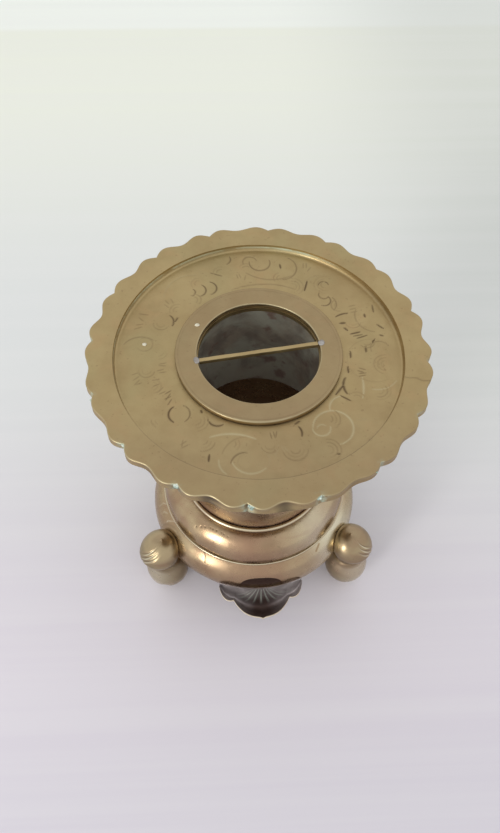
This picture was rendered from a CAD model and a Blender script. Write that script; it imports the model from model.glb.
"""Looks of the brass incense burner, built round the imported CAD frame."""
import math
import random

import bmesh
import bpy
import numpy as np
from mathutils import Matrix, Vector
from mathutils.kdtree import KDTree


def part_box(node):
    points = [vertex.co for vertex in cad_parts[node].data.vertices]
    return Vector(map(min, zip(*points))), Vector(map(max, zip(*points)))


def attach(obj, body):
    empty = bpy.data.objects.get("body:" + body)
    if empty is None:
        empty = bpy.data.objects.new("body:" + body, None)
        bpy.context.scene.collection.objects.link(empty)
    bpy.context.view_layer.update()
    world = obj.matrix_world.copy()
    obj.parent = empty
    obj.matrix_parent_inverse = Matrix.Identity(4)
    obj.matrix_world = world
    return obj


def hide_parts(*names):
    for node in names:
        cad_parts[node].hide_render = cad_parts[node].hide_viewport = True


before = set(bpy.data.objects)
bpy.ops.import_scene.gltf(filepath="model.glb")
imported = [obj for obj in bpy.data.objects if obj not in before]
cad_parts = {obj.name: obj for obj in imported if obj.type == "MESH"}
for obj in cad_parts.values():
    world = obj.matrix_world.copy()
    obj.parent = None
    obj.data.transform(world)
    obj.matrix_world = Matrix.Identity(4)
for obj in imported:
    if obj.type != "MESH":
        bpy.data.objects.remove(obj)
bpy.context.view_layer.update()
MM = 0.001
TAU = 2 * math.pi

# ---- sizes read from the frame -------------------------------------------------
tray_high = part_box("scalloped_tray")[1]
collar_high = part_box("mouth_collar")[1]
bar_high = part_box("cross_bar")[1]
tube_low, tube_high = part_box("tray_tube")
neck_low, neck_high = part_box("neck")
bead_low, bead_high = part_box("shoulder_bead")
shoulder_low, shoulder_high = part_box("shoulder_shell")
waist_low, waist_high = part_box("waist_bead")
bowl_low, bowl_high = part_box("lower_bowl")
foot_low, foot_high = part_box("foot_back")

# ---- dimensions ------------------------------------------------------------------
TOP = tray_high.z
TRAY_R = 55.0 * MM
RIM_THICK = 3.0 * MM
SCALLOP_PAIRS = 16
SCALLOP_TURN = math.radians(16.5)
SCALLOP_DEPTH = 1.65 * MM
LOBE_HALF = 4.6 / 11.25
PAN_R = 46.1 * MM
PAN_Z = TOP - 2.2 * MM
STEP_R = 45.35 * MM         # where the pan's floor starts to rise to the rim
MOUTH_R = 19.4 * MM
COLLAR_R = collar_high.x
COLLAR_TOP = TOP - 0.45 * MM
BAR_TURN = math.radians(8.5)
TUBE_OUT = 25.4 * MM
TUBE_IN = 24.3 * MM
NECK_IN = 25.75 * MM
NECK_OUT = 26.9 * MM
NECK_LIP = 1.0 * MM         # radius of the neck's rolled lip
SHELL_WALL = 1.3 * MM
BOWL_WALL = 1.4 * MM
SHOULDER_R = 26.2 * MM      # where the upper bulge's quarter oval is centred
WAIST_IN = 34.2 * MM
BOWL_R = 11.4 * MM          # radius of the lower bulge's section
BOWL_MID = (bowl_high.x - BOWL_R, bowl_low.z + BOWL_R)
DOOR_TURN = math.radians(1.7)
DOOR_HALF = 8.3 * MM
DOOR_SILL = 25.8 * MM
DOOR_SPRING = 26.6 * MM
DOOR_CROWN = 31.9 * MM
DOOR_CUT = (-46 * MM, -30 * MM)     # how far forward the cut for the door reaches
APRON_HALF = math.radians(23.2)
APRON_LIP_Z = DOOR_SILL - 0.2 * MM
APRON_END_R = 41.6 * MM     # rim radius at the two ends
APRON_NOTCH_R = 46.9 * MM   # where the two lobes of a side meet
APRON_NOTCH = 0.6           # how far along a side they meet
APRON_TIP_R = 51.9 * MM
APRON_END_Z = 24.5 * MM
APRON_TIP_Z = 22.5 * MM
APRON_DEEP = 8.0 * MM
APRON_THICK = 1.1 * MM
HOLE_R = 1.7 * MM           # holes in the fire grate
HOLE_RINGS = ((10.5, 6), (17.5, 10))    # each ring's radius in mm and number of holes
FOOT_R = 46.0 * MM          # how far out the feet stand
KNEE_R = 7.9 * MM           # half width of a foot's oval knee
KNEE_TALL = 7.6 * MM        # and its half height
KNEE_Z = 28.2 * MM
BALL_R = 8.6 * MM           # half width of the ball
BALL_TALL = 10.0 * MM       # and its half height
ANKLE_R = 6.0 * MM
PAD_R = 2.8 * MM            # flat under the ball
RIVET_Z = 26.2 * MM
CREASE_Z = 20.3 * MM        # between a foot's knee and its ball
GROOVE_TURN = 0.2           # where the grooves on a knee are centred, in radians
FOOT_TURNS = {"foot_front_left": -147.0, "foot_front_right": -33.0, "foot_back": 90.0}
TURN = 320                  # facets round a turned surface
FINE = 560                  # and round one that carries small marks
ROSY = [(266, 26, 0.95)]    # the rosy front of the bulges: degrees, half width, amount

FLOOR_HALF = 3.0
SKY = (0.985, 0.985, 0.985, 1.0)
SKY_POWER = 0.90
WINDOW_SPOT = (-0.57, -0.63, 0.34)
WINDOW_AIM = (0, 0, 0.04)
WINDOW_SIZE = (0.20, 0.46)
WINDOW_POWER = 3.0
WINDOW_TINT = (1.0, 0.99, 0.95)
CAMERA_LENS = 34.57
CAMERA_TILT = math.radians(57.143)
CAMERA_ROLL = math.radians(1.394)
CAMERA_TURN = math.radians(-3.4)
CAMERA_SPOT = (-0.04233, -2.81354, 3.65394)     # from the tray's middle, in tray radii


# ---- mesh helpers ----------------------------------------------------------------
def smooth(mesh, angle):
    """Smooth shading with hard edges where faces turn by more than an angle in degrees."""
    mesh.shade_smooth()
    mesh.set_sharp_from_angle(angle=math.radians(angle))


def new_object(name, data):
    """Link a new object to the scene."""
    thing = bpy.data.objects.new(name, data)
    bpy.context.scene.collection.objects.link(thing)
    return thing


def put(name, mesh, material, body, node=None, sharp=40.0):
    """Link a finished mesh as a piece that rides on a body and may stand for a node.
    Edges that turn by more than sharp degrees stay hard."""
    smooth(mesh, sharp)
    thing = new_object(name, mesh)
    mesh.materials.append(material)
    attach(thing, body)
    if node:
        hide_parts(node)
    return thing


def grid_mesh(name, points, wrap_rows=False, wrap_columns=True):
    """Quads over a rows x columns x 3 array of points."""
    rows, columns = points.shape[:2]
    down = np.arange(rows if wrap_rows else rows - 1)
    along = np.arange(columns if wrap_columns else columns - 1)
    j, i = np.meshgrid(down, along, indexing="ij")
    j2 = (j + 1) % rows
    i2 = (i + 1) % columns
    quads = np.stack([j * columns + i, j * columns + i2, j2 * columns + i2, j2 * columns + i], -1)
    quads = quads.reshape(-1, 4)
    mesh = bpy.data.meshes.new(name)
    mesh.vertices.add(rows * columns)
    mesh.vertices.foreach_set("co", points.reshape(-1).astype(np.float32))
    mesh.loops.add(quads.size)
    mesh.loops.foreach_set("vertex_index", quads.reshape(-1).astype(np.int32))
    mesh.polygons.add(len(quads))
    mesh.polygons.foreach_set("loop_start", np.arange(0, quads.size, 4, dtype=np.int32))
    mesh.update(calc_edges=True)
    mesh.validate()
    return mesh


def mesh_of(name, bm):
    """The mesh made in a bmesh, which is freed."""
    mesh = bpy.data.meshes.new(name)
    bm.to_mesh(mesh)
    bm.free()
    return mesh


def paint(mesh, name, values):
    """A per-vertex number that the materials read with an Attribute node."""
    layer = mesh.attributes.new(name, "FLOAT", "POINT")
    layer.data.foreach_set("value", np.asarray(values, np.float32).reshape(-1))


def radius_of(points):
    """Distance of each point from the Z axis."""
    return np.hypot(points[..., 0], points[..., 1])


def angle_of(points):
    """Direction of each point round the Z axis, in radians."""
    return np.arctan2(points[..., 1], points[..., 0])


def turn_grid(outline, columns=TURN):
    """Points of a closed outline of (r, z) turned about Z, outer side listed downwards.
    The columns are packed closer towards the front."""
    even = np.linspace(0, TAU, columns, endpoint=False)
    angles = even - 0.6 * np.sin(even + math.pi / 2)
    line = np.array(outline)
    x = line[:, :1] * np.cos(angles)
    y = line[:, :1] * np.sin(angles)
    z = np.repeat(line[:, 1:2], columns, 1)
    return np.stack([x, y, z], -1)


def arc(mid, radius, start, end, count):
    """Points of a circular arc between two angles in degrees."""
    angles = np.radians(np.linspace(start, end, count))
    return [(mid[0] + radius * math.cos(a), mid[1] + radius * math.sin(a)) for a in angles]


def oval(mid, wide, tall, angles):
    """Points (r, z) of an oval at the given angles in degrees."""
    turns = np.radians(angles)
    return [(mid[0] + wide * math.cos(a), mid[1] + tall * math.sin(a)) for a in turns]


def scaled(points, rise=0.0):
    """An outline of (r, z) given in mm, lifted to a height in metres."""
    return [(r * MM, rise + z * MM) for r, z in points]


def rounded(points, radius, bends=4):
    """A closed outline with each corner replaced by a short curve."""
    result = []
    count = len(points)
    for i in range(count):
        before = Vector(points[i - 1])
        here = Vector(points[i])
        after = Vector(points[(i + 1) % count])
        cut = min(radius, (here - before).length * 0.45, (after - here).length * 0.45)
        first = here + (before - here).normalized() * cut
        last = here + (after - here).normalized() * cut
        for k in range(bends + 1):
            t = k / bends
            result.append(tuple(first.lerp(here, t).lerp(here.lerp(last, t), t)))
    return result


def waver(points, amount, seed, wave=0.012):
    """Small smooth unevenness of hand-worked metal, moved along the radius and Z."""
    rng = np.random.default_rng(seed)
    shift = np.zeros(points.shape[:2])
    for _ in range(7):
        way = rng.normal(size=3)
        way *= TAU / wave / np.linalg.norm(way) * rng.uniform(0.35, 1.0)
        shift += np.sin(points @ way + rng.uniform(0, TAU))
    shift *= amount / 2.6
    out = points.copy()
    radius = np.maximum(radius_of(points), 1e-6)
    out[..., 0] += shift * points[..., 0] / radius
    out[..., 1] += shift * points[..., 1] / radius
    return out


# ---- material helpers --------------------------------------------------------------
class Look:
    """Builds one procedural material, with short calls for the nodes it needs."""

    def __init__(self, name, metallic=1.0, roughness=0.4):
        self.mat = bpy.data.materials.new(name)
        self.mat.use_nodes = True
        self.tree = self.mat.node_tree
        self.shader = self.tree.nodes["Principled BSDF"]
        self.shader.inputs["Metallic"].default_value = metallic
        self.shader.inputs["Roughness"].default_value = roughness
        self.place = self.tree.nodes.new("ShaderNodeTexCoord").outputs["Object"]

    def link(self, out, socket):
        if isinstance(out, (int, float)):
            socket.default_value = out
        elif isinstance(out, tuple):
            socket.default_value = (*out, 1.0)
        else:
            self.tree.links.new(out, socket)

    def noise(self, scale, detail=4.0, rough=0.55, stretch=None, twist=0.0):
        node = self.tree.nodes.new("ShaderNodeTexNoise")
        node.inputs["Scale"].default_value = scale
        node.inputs["Detail"].default_value = detail
        node.inputs["Roughness"].default_value = rough
        node.inputs["Distortion"].default_value = twist
        where = self.place
        if stretch:
            mapping = self.tree.nodes.new("ShaderNodeMapping")
            mapping.inputs["Scale"].default_value = stretch
            self.link(where, mapping.inputs["Vector"])
            where = mapping.outputs["Vector"]
        self.link(where, node.inputs["Vector"])
        return node.outputs["Fac"]

    def ramp(self, value, low, high, a=0.0, b=1.0):
        node = self.tree.nodes.new("ShaderNodeMapRange")
        node.interpolation_type = "SMOOTHSTEP"
        for key, number in (("From Min", low), ("From Max", high), ("To Min", a), ("To Max", b)):
            node.inputs[key].default_value = number
        self.link(value, node.inputs["Value"])
        return node.outputs["Result"]

    def mix(self, share, a, b, blend="MIX"):
        node = self.tree.nodes.new("ShaderNodeMix")
        node.data_type = "RGBA"
        node.blend_type = blend
        self.link(share, node.inputs[0])
        self.link(a, node.inputs[6])
        self.link(b, node.inputs[7])
        return node.outputs[2]

    def cloud(self, base, colour, noise, low, high, most=1.0, least=0.0):
        """A second colour laid over the base where a noise is high."""
        return self.mix(self.ramp(noise, low, high, least, most), base, colour)

    def math(self, kind, a, b=0.0):
        node = self.tree.nodes.new("ShaderNodeMath")
        node.operation = kind
        self.link(a, node.inputs[0])
        self.link(b, node.inputs[1])
        return node.outputs[0]

    def painted(self, name):
        node = self.tree.nodes.new("ShaderNodeAttribute")
        node.attribute_name = name
        return node.outputs["Fac"]

    def axis(self, name):
        node = self.tree.nodes.new("ShaderNodeSeparateXYZ")
        self.link(self.place, node.inputs[0])
        return node.outputs[name]

    def bump(self, height, strength, distance):
        node = self.tree.nodes.new("ShaderNodeBump")
        node.inputs["Strength"].default_value = strength
        node.inputs["Distance"].default_value = distance
        self.link(height, node.inputs["Height"])
        if self.shader.inputs["Normal"].is_linked:
            self.link(self.shader.inputs["Normal"].links[0].from_socket, node.inputs["Normal"])
        self.link(node.outputs["Normal"], self.shader.inputs["Normal"])

    def colour(self, value):
        self.link(value, self.shader.inputs["Base Color"])

    def rough(self, value):
        self.link(value, self.shader.inputs["Roughness"])

    def metal(self, value):
        self.link(value, self.shader.inputs["Metallic"])

    def haze(self, colour, strength):
        """Faint even glow that stands in for light scattered inside deep hollows."""
        self.link(colour, self.shader.inputs["Emission Color"])
        self.link(strength, self.shader.inputs["Emission Strength"])


def tray_look(name="tray_brass", dull=0.0):
    """Dull satin brass of the tray: cloudy tone, fine pits, engraving filled with dirt.
    dull darkens it all over."""
    look = Look(name)
    base = look.cloud((0.455, 0.350, 0.178), (0.405, 0.302, 0.152),
                      look.noise(55, 5, 0.6), 0.35, 0.68)
    base = look.cloud(base, (0.460, 0.325, 0.165),
                      look.noise(130, 3, 0.5, twist=0.6), 0.52, 0.70, 0.5)
    base = look.cloud(base, (0.395, 0.336, 0.172), look.noise(36, 3, 0.5), 0.50, 0.72, 0.5)
    base = look.cloud(base, (0.25, 0.17, 0.088), look.noise(900, 2, 0.5), 0.66, 0.76, 0.4)
    front = look.ramp(look.axis("Y"), -0.010, -0.045, dull, dull + 0.30)
    base = look.mix(front, base, (0.255, 0.180, 0.118))
    groove = look.painted("groove")
    tone = look.painted("tone")
    dark = look.math("MULTIPLY", groove, look.ramp(tone, 0.05, -0.9, 0.0, 0.85))
    pale = look.math("MULTIPLY", groove, look.ramp(tone, 0.1, 0.9, 0.0, 0.55))
    base = look.mix(look.math("MULTIPLY", groove, 0.18), base, (0.24, 0.17, 0.09))
    base = look.mix(dark, base, (0.075, 0.044, 0.026))
    base = look.mix(pale, base, (0.62, 0.56, 0.36))
    patches = look.ramp(look.noise(420, 4, 0.65), 0.40, 0.60)
    green = look.math("MULTIPLY", look.painted("crust"), patches)
    base = look.mix(green, base, (0.44, 0.50, 0.38))
    cover = look.ramp(look.noise(110, 4, 0.6), 0.34, 0.56, 0.25, 1.0)
    bloom = look.math("MULTIPLY", look.ramp(look.painted("wall"), 0.0, 1.0), cover)
    base = look.mix(bloom, base, (0.56, 0.60, 0.44))
    dim = look.ramp(look.painted("wall"), 0.0, -1.0, 0.0, 0.9)
    base = look.mix(dim, base, (0.085, 0.068, 0.052))
    look.colour(base)
    chalk = look.math("MAXIMUM", green, bloom)
    rough = look.ramp(look.noise(210, 4, 0.6), 0.3, 0.7, 0.40, 0.54)
    look.rough(look.math("MAXIMUM", rough, look.math("MULTIPLY", chalk, 0.75)))
    look.metal(look.math("SUBTRACT", 1.0, look.math("MULTIPLY", chalk, 0.6)))
    look.bump(look.noise(1400, 3, 0.6), 0.20, 0.00006)
    look.bump(look.noise(160, 4, 0.55), 0.22, 0.0002)
    return look.mat


def body_look(name, dull=0.0, hollow=False):
    """Brass worn smooth by handling: rosy and yellow clouds, dirt in seams and dents.
    dull adds the olive film that covers the feet; a hollow piece has haze painted on it."""
    look = Look(name)
    base = look.cloud((0.47, 0.365, 0.220), (0.375, 0.265, 0.158),
                      look.noise(70, 5, 0.6, twist=0.5), 0.36, 0.66)
    swirl = look.noise(60, 4, 0.5, twist=1.2, stretch=(0.6, 1.2, 2.4))
    rosy = look.ramp(swirl, 0.42, 0.68, 0.0, 0.62)
    patch = look.ramp(look.noise(45, 3), 0.3, 0.7, 0.5, 1.0)
    front = look.math("MULTIPLY", look.painted("rosy"), patch)
    base = look.mix(look.math("MAXIMUM", rosy, front), base, (0.350, 0.218, 0.140))
    base = look.cloud(base, (0.27, 0.195, 0.115),
                      look.noise(48, 5, 0.62, stretch=(1.0, 1.0, 0.6)), 0.54, 0.72, 0.5)
    base = look.cloud(base, (0.250, 0.220, 0.135),
                      look.noise(75, 4, 0.6), 0.36, 0.58, 0.9 * dull, 0.25 * dull)
    base = look.cloud(base, (0.15, 0.10, 0.06), look.noise(700, 2, 0.5), 0.68, 0.78, 0.5)
    grime = look.painted("grime")
    dirt = look.math("MULTIPLY", grime, look.ramp(look.noise(260), 0.3, 0.6, 0.6, 1.0))
    base = look.mix(dirt, base, (0.090, 0.060, 0.042))
    mark = look.painted("mark")
    base = look.mix(look.ramp(mark, 0.0, -1.0), base, (0.060, 0.038, 0.024))
    base = look.mix(look.ramp(mark, 0.0, 1.0), base, (0.84, 0.80, 0.62))
    look.colour(base)
    rough = look.ramp(look.noise(150, 4, 0.6), 0.32, 0.70, 0.22, 0.36)
    rough = look.math("ADD", rough, look.math("MULTIPLY", look.painted("matte"), 0.06))
    look.rough(look.math("MAXIMUM", rough, look.math("MULTIPLY", grime, 0.6)))
    look.bump(look.noise(1200, 3, 0.6), 0.15, 0.00005)
    look.bump(look.noise(120, 3, 0.5), 0.26, 0.0003)
    if hollow:
        look.haze((1.0, 0.62, 0.55), look.math("MULTIPLY", look.painted("hollow"), 0.026))
    return look.mat


def inner_look():
    """The tube: inside, a thin grey-green bloom in patches and a faint haze; outside
    (where "outer" is painted), sooted brass."""
    look = Look("inner_brass")
    soot = look.ramp(look.noise(90, 5, 0.65), 0.35, 0.65)
    base = look.mix(soot, (0.23, 0.205, 0.165), (0.42, 0.37, 0.29))
    base = look.cloud(base, (0.50, 0.52, 0.43), look.noise(60, 5, 0.6, twist=0.7), 0.40, 0.64, 0.9)
    base = look.cloud(base, (0.22, 0.13, 0.10), look.noise(150, 3, 0.5), 0.55, 0.70, 0.8)
    outer = look.painted("outer")
    base = look.mix(outer, base, look.mix(soot, (0.36, 0.26, 0.135), (0.22, 0.15, 0.085)))
    look.colour(base)
    look.metal(look.ramp(outer, 0.0, 1.0, 0.30, 0.95))
    look.rough(look.ramp(look.noise(200, 4), 0.3, 0.7, 0.34, 0.56))
    look.bump(look.noise(700, 4, 0.6), 0.3, 0.0001)
    look.haze((1.0, 0.72, 0.66), look.ramp(outer, 0.0, 1.0, 0.009, 0.0))
    return look.mat


def soot_look(name, glow=0.018):
    """Brass blackened by smoke, with grey ash in patches and a faint haze."""
    look = Look(name, metallic=0.85)
    base = look.cloud((0.24, 0.17, 0.105), (0.13, 0.095, 0.066),
                      look.noise(90, 5, 0.65), 0.35, 0.65)
    base = look.cloud(base, (0.36, 0.34, 0.30),
                      look.noise(210, 4, 0.6, twist=0.7), 0.52, 0.72, 0.55)
    look.colour(base)
    look.rough(look.ramp(look.noise(200, 4), 0.3, 0.7, 0.42, 0.62))
    look.bump(look.noise(700, 4, 0.6), 0.3, 0.0001)
    look.haze((1.0, 0.76, 0.68), glow)
    return look.mat


def patina_look():
    """Purple-grey heat patina inside the shell; the rubbed rim shows bare brass."""
    look = Look("patina", metallic=0.6)
    base = look.cloud((0.30, 0.265, 0.265), (0.43, 0.39, 0.39),
                      look.noise(190, 4, 0.6, twist=0.6), 0.35, 0.66)
    brown = look.painted("floor")
    base = look.mix(look.math("MULTIPLY", brown, 0.95), base, (0.078, 0.044, 0.036))
    base = look.mix(look.painted("ridge"), base, (0.44, 0.46, 0.41))
    rim = look.painted("rim")
    base = look.mix(rim, base, (0.82, 0.72, 0.54))
    look.colour(base)
    look.rough(look.ramp(look.noise(260, 3), 0.3, 0.7, 0.42, 0.60))
    look.bump(look.noise(900, 3, 0.6), 0.3, 0.00008)
    return look.mat


def solder_look(name):
    """Grey, finely blotched solder."""
    look = Look(name, metallic=0.75)
    look.colour(look.cloud((0.44, 0.42, 0.40), (0.30, 0.27, 0.24),
                      look.noise(700, 4, 0.6), 0.35, 0.65))
    look.rough(look.ramp(look.noise(1500), 0.3, 0.7, 0.4, 0.65))
    look.bump(look.noise(1800, 3), 0.4, 0.0001)
    return look.mat


def crust_look(name):
    """Pale powdery copper crust."""
    look = Look(name, metallic=0.0, roughness=0.85)
    look.colour(look.cloud((0.72, 0.78, 0.70), (0.30, 0.40, 0.34),
                      look.noise(1100, 4, 0.6), 0.36, 0.62))
    look.bump(look.noise(2600, 3), 0.6, 0.00015)
    return look.mat


def wax_look(name):
    """Yellowed wax."""
    look = Look(name, metallic=0.0, roughness=0.35)
    look.colour(look.cloud((0.86, 0.80, 0.62), (0.70, 0.62, 0.44),
                      look.noise(1500, 3), 0.36, 0.62))
    look.shader.inputs["Subsurface Weight"].default_value = 0.15
    return look.mat


def floor_look():
    """Pale studio surface: greener and lighter far away, lilac near, dimmer at the right."""
    look = Look("floor", metallic=0.0, roughness=0.9)
    depth = look.axis("Y")
    far = look.ramp(depth, -0.06, 0.10)
    base = look.mix(far, (0.700, 0.665, 0.730), (0.735, 0.755, 0.755))
    back = look.ramp(depth, 0.10, 0.34)
    base = look.mix(back, base, (0.860, 0.885, 0.790))
    end = look.ramp(depth, 0.378, 0.384)
    base = look.mix(end, base, (0.900, 0.935, 0.880))
    near = look.ramp(depth, -0.06, -0.13, 0.0, 0.8)
    base = look.mix(near, base, (0.640, 0.615, 0.680))
    side = look.math("MULTIPLY", look.ramp(look.axis("X"), 0.02, 0.16, 0.0, 0.6), far)
    base = look.mix(side, base, (0.625, 0.650, 0.620))
    base = look.cloud(base, (0.82, 0.82, 0.82),
                      look.noise(9, 4, 0.6, stretch=(0.12, 9.0, 1.0)), 0.35, 0.65, 0.16)
    look.colour(base)
    return look.mat


# ---- engraving on the pan --------------------------------------------------------
# Scrollwork arcs: centre (degrees, mm), arc radius mm, from and to (degrees), line
# width mm, tone (-1 dirt-filled, +1 bright with polish residue).
SCROLLS = [
    (87, 39.7, 3.6, 170, 382, 0.32, -0.5), (92, 40.2, 2.4, -350, -150, 0.28, -0.4),
    (76, 38.2, 5.4, -90, 60, 0.30, -0.4), (82, 45.8, 13.7, -132, -62, 0.30, -0.3),
    (71, 5.7, 24.8, 61, 114, 0.30, -0.3), (104, 42.8, 2.4, -67, 36, 0.28, -0.6),
    (51, 36.9, 1.7, 10, 170, 0.30, -0.6), (47, 33.6, 1.7, 145, 335, 0.30, -0.5),
    (44, 31.7, 2.2, -115, 50, 0.32, -0.6), (42, 30.7, 4.0, -45, 45, 0.28, -0.4),
    (50, 35.0, 6.5, 60, 170, 0.28, 0.2), (125, 33.7, 2.8, -70, 60, 0.32, -0.7),
    (119, 32.6, 2.9, -76, 80, 0.32, -0.7), (129, 34.5, 1.6, -80, 60, 0.30, -0.6),
    (130, 32.6, 9.7, 83, 180, 0.34, 0.35), (155, 33.7, 3.3, -31, 54, 0.34, -0.8),
    (177, 37.7, 6.2, 50, 150, 0.30, -0.3), (172, 36.8, 2.6, -150, 120, 0.26, -0.2),
    (21, 41.9, 6.7, 154, 261, 0.30, -0.3), (17, 31.5, 7.1, 90, 126, 0.36, -0.9),
    (355, 36.5, 8.5, 60, 300, 0.28, 0.15), (221, 33.2, 3.2, -60, 70, 0.30, -0.5),
    (221, 33.3, 3.2, 122, 243, 0.40, -1.0), (258, 47.2, 16.6, 63, 111, 0.42, 1.0),
    (240, 27.1, 2.9, -172, -56, 0.40, -1.0), (264, 37.3, 6.0, -162, -45, 0.34, 0.7),
    (266, 38.9, 4.2, -52, 75, 0.26, 0.3), (262, 40.6, 4.3, 80, 170, 0.34, -0.5),
    (262, 39.4, 2.4, 100, 290, 0.28, 0.2), (258, 39.7, 5.2, 172, 235, 0.36, 0.6),
    (263, 38.6, 8.0, 95, 165, 0.28, -0.2), (285, 30.7, 3.7, -19, 40, 0.40, -0.9),
    (307, 35.2, 6.0, -76, 178, 0.38, 0.8), (302, 33.2, 2.7, -181, 11, 0.34, 0.7),
    (302, 33.6, 1.6, 48, 167, 0.30, 0.6), (320, 33.0, 4.6, 100, 190, 0.36, 0.9),
    (338, 33.9, 5.6, 148, 214, 0.50, -1.0), (312, 16.1, 21.2, -16, 6, 0.40, 0.8),
    (349, 36.9, 7.5, -103, -35, 0.34, 0.6), (2, 39.0, 3.0, 20, 200, 0.28, -0.3),
]
# Short graver cuts: from (degrees, mm) to (degrees, mm), width mm, tone.
CUTS = [
    (77, 39.9, 76, 38.0, 0.40, -0.8), (60, 35.6, 58, 31.3, 0.42, -1.0),
    (24, 29.7, 23, 31.4, 0.50, -1.0), (20, 30.1, 17, 30.7, 0.40, -1.0),
    (14, 31.0, 14, 34.4, 0.40, -0.9), (12, 31.6, 12, 34.8, 0.30, -0.6),
    (10, 32.5, 11, 36.2, 0.30, -0.7), (24, 38.9, 22, 38.5, 0.45, -1.0),
    (16, 40.8, 13, 42.2, 0.36, -0.8), (10, 40.1, 9, 41.3, 0.36, -0.8),
    (6, 37.0, 8, 38.2, 0.45, -1.0), (4, 34.5, 0, 34.4, 0.42, -0.9),
    (1, 29.3, 356, 29.3, 0.42, -0.9), (349, 28.4, 344, 29.0, 0.42, -1.0),
    (27, 43.4, 23, 42.1, 0.34, -0.6), (113, 38.5, 108, 35.6, 0.32, -0.5),
    (148, 30.5, 152, 30.3, 0.36, -0.7), (155, 42.6, 154, 39.6, 0.30, -0.3),
    (228, 27.7, 230, 28.3, 0.45, -1.0), (246, 39.7, 247, 42.0, 0.42, -0.9),
    (294, 27.7, 290, 28.2, 0.36, -0.8), (334, 28.7, 325, 28.1, 0.44, -1.0),
    (326, 29.4, 326, 33.1, 0.36, -0.8), (300, 43.0, 301, 43.5, 0.40, -0.8),
]
# Groups of shading hatches: middle (degrees, mm), how many, spread in degrees, tone.
HATCHES = [
    (192, 39.5, 4, 8, -0.25), (200, 33.5, 4, 12, -0.35), (208, 32.5, 4, 7, -0.5),
    (276, 30.0, 3, 6, -0.4), (278, 35.6, 4, 5, 0.35), (160, 41.0, 3, 5, -0.3),
    (64, 41.5, 3, 4, -0.3), (30, 37.0, 3, 6, -0.3), (143, 36.5, 3, 6, -0.25),
    (188, 31.0, 4, 9, -0.3), (318, 40.0, 3, 6, 0.3), (234, 40.5, 3, 5, -0.3),
    (98, 33.5, 3, 5, -0.25), (346, 33.0, 4, 8, -0.45),
]


def polar(degrees, radius):
    """The point (x, y) at a direction and a distance from the Z axis."""
    turn = math.radians(degrees)
    return np.array([radius * math.cos(turn), radius * math.sin(turn)])


def stroke_points():
    """Sample points of every engraved line: x, y, half width and tone, in mm."""
    rng = random.Random(4)
    rows = []

    def add(line, width, tone):
        for i, (x, y) in enumerate(line):
            share = i / max(len(line) - 1, 1)
            taper = 0.45 + 0.55 * math.sin(math.pi * share) ** 0.5
            rows.append((x, y, 0.8 * width * taper, tone))

    def curve(angle, reach, radius, start, end, width, tone):
        middle = polar(angle, reach)
        count = int(radius * abs(math.radians(end - start)) / 0.15) + 2
        drift = rng.uniform(-0.03, 0.03)
        line = []
        for i in range(count):
            t = i / (count - 1)
            line.append(middle + polar(start + (end - start) * t, radius * (1 + drift * t)))
        add(line, width, tone)

    for scroll in SCROLLS:
        curve(*scroll)
    for k in range(26):
        angle = 360 * (k + rng.uniform(0.2, 0.8)) / 26
        reach = rng.uniform(31.0, 41.5)
        start = rng.uniform(0, 360)
        turn = rng.choice((-1, 1)) * rng.uniform(80, 190)
        for ring in range(rng.choice((2, 3))):
            curve(angle, reach, 1.4 + 1.15 * ring, start, start + turn, 0.26, rng.uniform(-0.30, -0.05))
    dashes = list(CUTS)
    for angle, reach, count, spread, tone in HATCHES:
        for k in range(count):
            along = angle + spread * ((k + 0.5) / count - 0.5)
            near = reach + rng.uniform(-0.8, 0.8)
            dashes.append((along, near - 1.1, along + rng.uniform(-1.5, 2.5),
                           near + 1.1, 0.26, tone))
    for a, b, c, d, width, tone in dashes:
        first, last = polar(a, b), polar(c, d)
        count = int(np.linalg.norm(last - first) / 0.15) + 2
        add([first + (last - first) * i / (count - 1) for i in range(count)], width, tone)
    return rows


def engrave(x, y):
    """How deep (0 to 1) each point lies in a line, and that line's tone."""
    strokes = stroke_points()
    tree = KDTree(len(strokes))
    for i, (sx, sy, _, _) in enumerate(strokes):
        tree.insert((sx, sy, 0.0), i)
    tree.balance()
    groove = np.zeros(len(x))
    tone = np.zeros(len(x))
    for i in range(len(x)):
        _, which, far = tree.find((x[i] / MM, y[i] / MM, 0.0))
        if far < 1.0:
            groove[i] = math.exp(-(far / strokes[which][2]) ** 2)
            tone[i] = strokes[which][3]
    return groove, tone


# ---- tray ------------------------------------------------------------------------------
def scallop(angle):
    """Rim radius: pairs of round lobes with a sharp notch in each pair, a wide valley
    between pairs, and the unevenness of hand filing."""
    pitch = TAU / SCALLOP_PAIRS
    share = ((angle - SCALLOP_TURN) / pitch + 0.5) % 1.0 - 0.5
    along = np.abs(share) * 2
    inside = 1 - np.sin(math.pi / 2 * np.minimum(along / LOBE_HALF, 1))
    outside = (1 - np.cos(math.pi * (along - LOBE_HALF) / (1 - LOBE_HALF))) / 2
    dip = np.where(along < LOBE_HALF, inside, outside)
    uneven = 0.16 * np.sin(3 * angle + 1) + 0.12 * np.sin(7 * angle) + 0.10 * np.sin(13 * angle + 2)
    droop = 0.9 * MM * bumps(angle, [(268, 20, 1.0)])
    return TRAY_R + droop - SCALLOP_DEPTH * dip * (1 + uneven) - 0.00012 * (1 + uneven)


def bumps(angle, places):
    """Sum of soft bumps round the circle, each (degrees, half width in degrees, size)."""
    total = np.zeros(np.shape(angle))
    for middle, width, size in places:
        off = (np.degrees(angle) - middle + 180) % 360 - 180
        total += size * np.exp(-(off / width) ** 2)
    return total


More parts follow.
